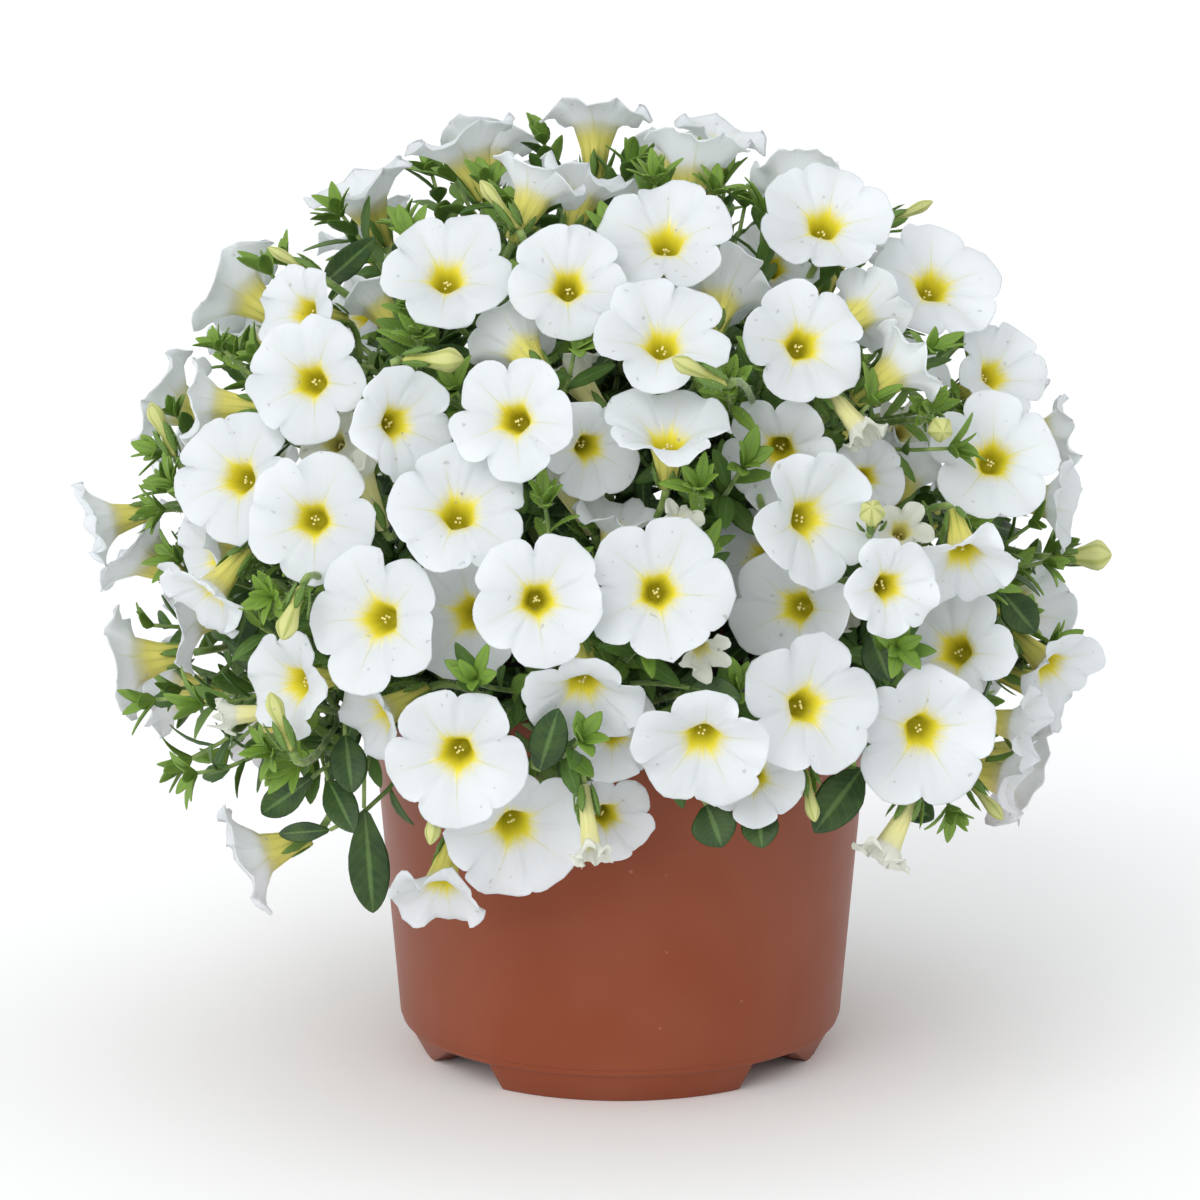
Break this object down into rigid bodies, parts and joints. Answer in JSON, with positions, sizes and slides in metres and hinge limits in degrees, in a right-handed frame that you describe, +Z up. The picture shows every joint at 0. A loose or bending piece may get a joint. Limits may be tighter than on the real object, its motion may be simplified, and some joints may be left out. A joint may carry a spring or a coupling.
{
  "type": "potted calibrachoa",
  "caption": "Rounded calibrachoa plant with white, yellow-throated funnel blooms and small green leaves, growing in a terracotta-brown plastic pot with foot ridges.",
  "frame": {"origin": "on the ground plane that the pot's feet stand on, under the middle of the whole object's box", "axes": "+Z up; the side that the picture shows faces -Y, with +X to its right"},
  "size_m": [0.2596, 0.2542, 0.2428],
  "materials": {
    "pot": "satin",
    "soil": "matte",
    "foliage": "satin",
    "blooms": "matte"
  },
  "bodies": {
    "root": {"pot": "pot", "soil": "soil", "spray_01": "blooms", "spray_02": "blooms", "spray_03": "blooms", "spray_04": "blooms", "spray_05": "blooms", "spray_06": "blooms", "spray_07": "blooms", "spray_08": "blooms", "spray_09": "blooms", "spray_10": "blooms", "spray_11": "blooms", "spray_12": "blooms", "spray_13": "blooms", "spray_14": "blooms", "spray_15": "blooms", "spray_16": "blooms", "spray_17": "blooms", "spray_18": "blooms", "spray_19": "blooms", "spray_20": "blooms", "spray_21": "blooms", "spray_22": "blooms", "spray_23": "blooms", "spray_24": "blooms", "spray_25": "blooms", "spray_26": "blooms", "spray_27": "blooms", "spray_28": "blooms", "spray_29": "blooms", "spray_30": "blooms", "spray_31": "blooms", "spray_32": "blooms", "spray_33": "blooms", "spray_34": "blooms", "spray_35": "blooms", "spray_36": "blooms", "spray_37": "blooms", "spray_38": "blooms", "spray_39": "blooms", "spray_40": "blooms", "stem_01": "foliage", "stem_02": "foliage", "stem_03": "foliage", "stem_04": "foliage", "stem_05": "foliage", "stem_06": "foliage", "stem_07": "foliage", "stem_08": "foliage", "stem_09": "foliage", "stem_10": "foliage", "stem_11": "foliage", "stem_12": "foliage"}
  },
  "joints": []
}
